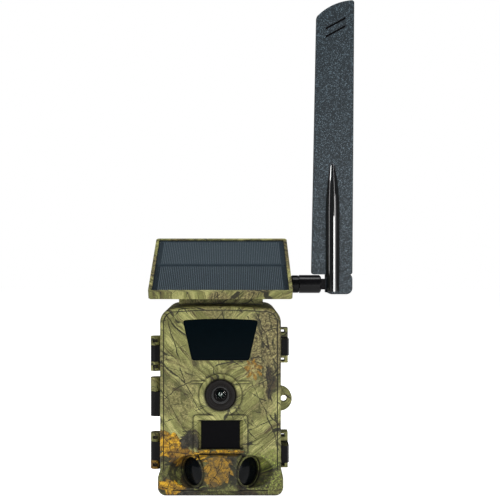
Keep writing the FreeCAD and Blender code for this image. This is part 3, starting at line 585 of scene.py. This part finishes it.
def lens():
    """The stepped ring, the domed front element and a smaller coated one behind it."""
    place = frame_along(LENS, (0, -1, 0))
    steps = [(6.75, 1.0), (11.4, 1.0), (11.4, 4.9), (10.9, 5.5), (9.4, 5.6), (9.0, 5.2), (8.2, 4.9), (8.0, 5.1),
             (7.5, 5.1), (7.3, 4.5), (6.75, 4.3)]
    piece("lens_front_ring", lathe("lens_front_ring", steps, place), "lens_black", "front_door", "lens_black",
          "lens_ring")
    sleeve = [(5.35, -4.8), (6.5, -4.8), (6.5, 4.3), (6.4, 4.7), (6.1, 4.7), (5.9, 4.2), (5.6, 2.9), (5.35, 2.8)]
    piece("lens_sleeve", lathe("lens_sleeve", sleeve, place), "lens_rim", "front_door", "lens_black", "lens_barrel")
    baffle = [(5.3, 2.4), (5.3, 2.9), (4.5, 2.3), (4.4, 1.9), (3.6, 1.5), (3.5, 0.9), (3.4, 0.3), (5.3, 0.3)]
    piece("lens_baffle", lathe("lens_baffle", baffle, place), "lens_black", "front_door", "lens_black")
    dome = [(0, 4.5), (1.2, 4.44), (2.4, 4.24), (3.6, 3.9), (4.6, 3.5), (5.3, 3.1), (5.3, 2.95), (4.6, 3.2),
            (3.6, 3.55), (2.4, 3.85), (1.2, 4.05), (0, 4.1)]
    piece("lens_front_element", lathe("lens_front_element", dome, place, closed=False), "front_glass",
          "front_door", "lens_glass", "lens_glass")
    inner = [(0, 2.5), (0.7, 2.42), (1.4, 2.16), (2.1, 1.7), (2.7, 1.1), (3.35, 0.2), (3.35, -0.6), (0, -0.6)]
    piece("lens_inner_element", lathe("lens_inner_element", inner, place, closed=False), "lens_glass",
          "front_door", "lens_glass")


TILT = math.radians(30.6)
PANEL = Matrix.Translation(Vector((0, -9.5, 174.5)) * MM) @ Matrix.Rotation(TILT, 4, "X") @ Matrix.Scale(MM, 4)
CELL_TOP = -1.3
FINGER_PITCH = 1.42
FINGER_HALF = 0.14
FINGERS = 66


def solar_print():
    """Silver lines over both rows of cells, with a bus line along each row's edges."""
    lines = []
    for low, high in ((-35.6, -2.2), (2.2, 35.6)):
        for n in range(FINGERS + 1):
            x = (n - FINGERS / 2) * FINGER_PITCH
            lines.append(((x - FINGER_HALF, low, CELL_TOP), (x + FINGER_HALF, high, CELL_TOP + 0.015)))
    piece("solar_fingers", blocks("solar_fingers", lines, PANEL), "silver_print", "solar_panel", "solar_cell")
    bus = [((-49.5, y - 0.3, CELL_TOP), (49.5, y + 0.3, CELL_TOP + 0.02)) for y in (-36.4, -1.3, 1.3, 36.4)]
    piece("solar_bus_lines", blocks("solar_bus_lines", bus, PANEL), "tab_print", "solar_panel", "solar_cell")


KNURLS = 40


def antenna_collar():
    """The antenna's screw collar with its ring of straight knurls."""
    place = frame_along((47, 7, 157.8), (1, 0, 0))
    body = [(3.2, 0), (5.0, 0), (5.4, 0.4), (5.4, 9.4), (6.6, 9.6), (6.85, 10.0), (6.85, 15.0), (6.5, 15.4), (3.2, 15.4)]
    piece("antenna_collar", lathe("antenna_collar", body, place), "antenna_gloss", "antenna_nut", "antenna_gloss",
          "antenna_nut")
    build = bmesh.new()
    for n in range(KNURLS):
        add_block(build, (6.55, -0.27, 10.2), (7.08, 0.27, 14.8),
                  place @ Matrix.Rotation(2 * math.pi * n / KNURLS, 4, "Z"))
    piece("antenna_collar_knurl", finished("antenna_collar_knurl", build), "antenna_gloss", "antenna_nut",
          "antenna_gloss")


def antenna_spine():
    """A glossy skin over the blade's spine, open where the joint's tongue goes in."""
    place = frame_along((89.6, 7, 0), (0, 0, 1))
    profile = [(6.1, 151.9), (5.7, 151.25), (5.8, 151.2), (6.24, 151.9), (6.26, 165), (6.26, 210)]
    profile += [(6.26 * (1 - t * t) ** 0.75 + 0.05, 210 + 53.6 * t)
                for t in (0.1, 0.2, 0.3, 0.4, 0.5, 0.6, 0.7, 0.8, 0.88, 0.94, 0.98, 1.0)]
    profile += [(0.02, 261), (0.3, 258), (6.1, 210)]
    item = bpy.data.objects.new("spine_blank", lathe("spine_blank", profile, place))
    build = bmesh.new()
    add_block(build, (79, 4.7, 148), (96.4, 9.3, 165.4), Matrix.Scale(MM, 4))
    cutter = bpy.data.objects.new("spine_cutter", finished("spine_cutter", build))
    for made in (item, cutter):
        scene.collection.objects.link(made)
    change = item.modifiers.new("gap", "BOOLEAN")
    change.operation = "DIFFERENCE"
    change.solver = "EXACT"
    change.object = cutter
    mesh = bpy.data.meshes.new_from_object(item.evaluated_get(bpy.context.evaluated_depsgraph_get()))
    for made in (item, cutter):
        bpy.data.objects.remove(made)
    mesh.materials.clear()
    piece("antenna_spine", mesh, "spine_gloss", "antenna_blade", "antenna_gloss")


def antenna_webs():
    """The dark webs that close the blade's two slots, half way through its thickness."""
    build = bmesh.new()
    upright = Matrix.Scale(MM, 4) @ Matrix(((1, 0, 0), (0, 0, 1), (0, 1, 0))).to_4x4()
    for low in (356, 362.5):
        outline = [(83.9, low - 0.15), (100.1, low + 8.55), (100.1, low + 10.65), (83.9, low + 2.0)]
        add_prism(build, outline, 5.6, 8.4, upright)
    piece("antenna_webs", finished("antenna_webs", build), "antenna_gloss", "antenna_blade", "antenna_gloss")


CROSS_STEPS = 36


def add_screw(build, place, shank, head, stand, length):
    """A pan head screw with a cross recess, its head's seat at the frame's origin."""
    side = [(0, -length), (shank, -length), (shank, 0), (head, 0), (head, stand * 0.6), (head * 0.88, stand)]
    top = turn_profile(build, side, place, CROSS_STEPS)[-1]
    arm, half, deep = head * 0.62, head * 0.15, stand * 0.7
    quarter = [(arm, -half), (arm, half), (half, half)]
    cross = []
    for n in range(4):
        turn = Matrix.Rotation(math.radians(90 * n), 2)
        cross += [turn @ Vector(point) for point in quarter]
    upper = [build.verts.new(place @ Vector((*point, stand))) for point in cross]
    lower = [build.verts.new(place @ Vector((*point, stand - deep))) for point in cross]
    for n in range(len(cross)):
        after = (n + 1) % len(cross)
        build.faces.new((upper[n], upper[after], lower[after], lower[n]))
    build.faces.new(lower)
    rims = []
    for ring in (top, upper):
        for n, vertex in enumerate(ring):
            near = ring[(n + 1) % len(ring)]
            rims.append(build.edges.get((vertex, near)) or build.edges.new((vertex, near)))
    bmesh.ops.triangle_fill(build, edges=rims, use_beauty=True, normal=place.to_3x3() @ Vector((0, 0, 1)))


def screws(name, node, body, places, sizes):
    build = bmesh.new()
    for place in places:
        add_screw(build, place, *sizes)
    piece(name, finished(name, build), "steel", body, "steel", node)


def all_screws():
    spots = [(x, 37, z) for x in (-14, 14) for z in (51.5, 88.5)]
    screws("bracket_screw_heads", "strap_bracket_screws", "rear_case",
           [frame_along(spot, (0, 1, 0)) for spot in spots], (1.7, 3.0, 1.6, 7.0))
    spots = [(x, y, -8.9) for x in (-38, 38) for y in (-32.5, 26)]
    turn = Matrix.Rotation(math.pi, 4, "X")
    screws("panel_screw_heads", "panel_screws", "solar_panel",
           [PANEL @ Matrix.Translation(spot) @ turn for spot in spots], (1.48, 1.5, 0.7, 2.4))
    spots = [(x, -11.5, z) for x in (-37, 37) for z in (10, 126)]
    screws("cover_screw_heads", "inner_panel_screws", "front_door",
           [frame_along(spot, (0, 1, 0)) for spot in spots], (1.58, 1.6, 0.9, 7.5))


KEYS = {"up": (0, 70), "down": (0, 50), "left": (-10, 60), "right": (10, 60), "ok": (0, 60), "menu": (-22, 70)}
ARROWS = {"up": 0, "left": 90, "down": 180, "right": 270}
KEY_FACE = -10.0


def keys():
    """Dished keys with raised marks: four arrows, a ring and three bars."""
    cap = [(0, -3.4), (2.8, -3.4), (2.8, -0.5), (2.55, -0.1), (2.2, 0), (1.9, -0.08), (0, -0.22)]
    for name, (x, z) in KEYS.items():
        place = frame_along((x, KEY_FACE, z), (0, 1, 0))
        piece("key_" + name, lathe("key_" + name, cap, place, closed=False), "rubber", "button_" + name, "rubber",
              "button_" + name)
        build = bmesh.new()
        flat = Matrix.Translation(Vector((x, KEY_FACE, z)) * MM) @ Matrix.Rotation(math.radians(-90), 4, "X")
        flat = flat @ Matrix.Scale(MM, 4)
        if name in ARROWS:
            turn = Matrix.Rotation(math.radians(ARROWS[name]), 4, "Z")
            add_prism(build, [(-1.0, 0.6), (0, -0.9), (1.0, 0.6)], -0.25, -0.02, flat @ turn)
        elif name == "ok":
            turn_profile(build, [(0.7, -0.25), (1.1, -0.25), (1.1, -0.02), (0.7, -0.02)], flat, 32, closed=True)
        else:
            for y in (-0.8, 0, 0.8):
                add_block(build, (-1.1, y - 0.17, -0.25), (1.1, y + 0.17, -0.02), flat)
        piece("key_mark_" + name, finished("key_mark_" + name, build), "white_print", "button_" + name, "rubber")


def infrared_diodes():
    """Diodes with domed tips in rows that widen upwards."""
    build = bmesh.new()
    tip = [(0, 0), (2.4, 0), (2.4, 0.7), (2.1, 0.8), (2.1, 2.0), (1.9, 2.7), (1.4, 3.2), (0.7, 3.5), (0, 3.6)]
    for level in range(4):
        for column in range(-4, 5):
            if abs(column) * 5.6 < 17 + 2.4 * level:
                turn_profile(build, tip, frame_along((column * 5.6, -28, 107 + 7 * level), (0, -1, 0)), 24)
    piece("infrared_diodes", finished("infrared_diodes", build), "led_clear", "front_door", "led_clear", "ir_leds")


def tripod_thread():
    """The threaded insert in the base."""
    bore = [(2.6, 0), (3.2, 0)]
    inner = []
    turns = 7
    for n in range(turns):
        low = 0.6 + 1.15 * n
        inner += [(3.15, low), (2.6, low + 0.45), (2.6, low + 0.6)]
    profile = [(5.0, 0.02), (5.0, 9.0), (2.6, 9.0)] + list(reversed(inner)) + [(3.4, 0.02)]
    del bore
    piece("tripod_thread", lathe("tripod_thread", profile, frame_along((0, 0, 0), (0, 0, 1)), 48), "brass",
          "rear_case", "brass", "tripod_insert")


MATERIALS["front_glass"] = clear("front_glass", rgb(6, 8, 9), 0.15, 0.02)
MATERIALS["lens_rim"] = plastic("lens_rim", rgb(46, 46, 46), 0.3, 0.04)
MATERIALS["silver_print"] = plastic("silver_print", rgb(84, 94, 100), 0.4, 0.05)
MATERIALS["tab_print"] = plastic("tab_print", rgb(40, 50, 56), 0.4, 0.05)
MATERIALS["spine_gloss"] = plastic("spine_gloss", rgb(7, 9, 10), 0.1, 0.0, coat=1.0)
MATERIALS["white_print"] = plastic("white_print", rgb(200, 200, 196), 0.5, 0.05)
MATERIALS["dark_board"] = plastic("dark_board", rgb(9, 11, 18), 0.5, 0.1)
MATERIALS["flat_sensor"] = window("flat_sensor", rgb(3, 3, 4), 0.3, level=0.03)
for name, material in (("ir_led_board", "dark_board"), ("pir_window", "flat_sensor")):
    nodes[name].data.materials[0] = MATERIALS[material]
lens()
solar_print()
antenna_collar()
antenna_spine()
antenna_webs()
all_screws()
keys()
infrared_diodes()
tripod_thread()

AMBIENT = 0.14
BACKDROP = 1.0


# ---- studio ----------------------------------------------------------------------------------------

def area_light(name, place, target, size, power, size_y=None):
    data = bpy.data.lights.new(name, "AREA")
    data.energy = power
    data.size = size
    if size_y:
        data.shape = "RECTANGLE"
        data.size_y = size_y
    item = bpy.data.objects.new(name, data)
    item.location = place
    item.rotation_euler = (Vector(target) - Vector(place)).to_track_quat("-Z", "Y").to_euler()
    scene.collection.objects.link(item)


def studio():
    mesh = bpy.data.meshes.new("floor")
    side, near, far = 3.0, -3.0, 3.0
    mesh.from_pydata([(-side, near, 0), (side, near, 0), (side, far, 0), (-side, far, 0)], [], [(0, 1, 2, 3)])
    floor = bpy.data.objects.new("floor", mesh)
    scene.collection.objects.link(floor)
    pen = Shader("floor_white")
    seen = pen.node("LightPath").outputs["Is Camera Ray"]
    pen.set(Base_Color=(0.9, 0.9, 0.9), Roughness=0.6, Emission_Color=(1, 1, 1),
            Emission_Strength=pen.math("MULTIPLY_ADD", seen, 0.5, 0.36))
    mesh.materials.append(pen.material)
    world = bpy.data.worlds.new("studio")
    world.use_nodes = True
    tree = world.node_tree
    seen = tree.nodes.new("ShaderNodeLightPath").outputs["Is Camera Ray"]
    level = tree.nodes.new("ShaderNodeMapRange")
    level.inputs["To Min"].default_value = AMBIENT
    level.inputs["To Max"].default_value = BACKDROP
    tree.links.new(seen, level.inputs["Value"])
    background = tree.nodes["Background"]
    background.inputs["Color"].default_value = (1, 1, 1, 1)
    tree.links.new(level.outputs["Result"], background.inputs["Strength"])
    scene.world = world
    scene.view_settings.view_transform = "Standard"
    middle = (0.02, 0, 0.17)
    area_light("key", (-0.7, -0.8, 0.75), middle, 0.3, 9)
    area_light("fill", (0.8, -0.9, 0.2), middle, 0.5, 4.0)
    area_light("low", (0.45, -1.0, 0.17), (0, 0, 0.15), 0.2, 5.0)
    area_light("top", (0.0, -0.15, 1.2), (0, 0, 0), 0.5, 9)
    area_light("strip_left", (-0.35, -0.35, 0.3), (0.09, 0, 0.25), 0.06, 1.1, 0.7)
    area_light("strip_right", (0.42, -0.55, 0.3), (0.09, 0, 0.25), 0.05, 1.4, 0.7)


def camera():
    """The lens sits level, 585 mm in front of the case, at the height of the panel's hinge."""
    data = bpy.data.cameras.new("camera")
    data.sensor_width = 36.0
    data.lens = 56.16
    data.shift_x = 0.038
    data.clip_start = 0.01
    item = bpy.data.objects.new("camera", data)
    item.location = (0.0079, -0.623, 0.1853)
    item.rotation_euler = (math.radians(90), 0, 0)
    scene.collection.objects.link(item)
    scene.camera = item


studio()
camera()
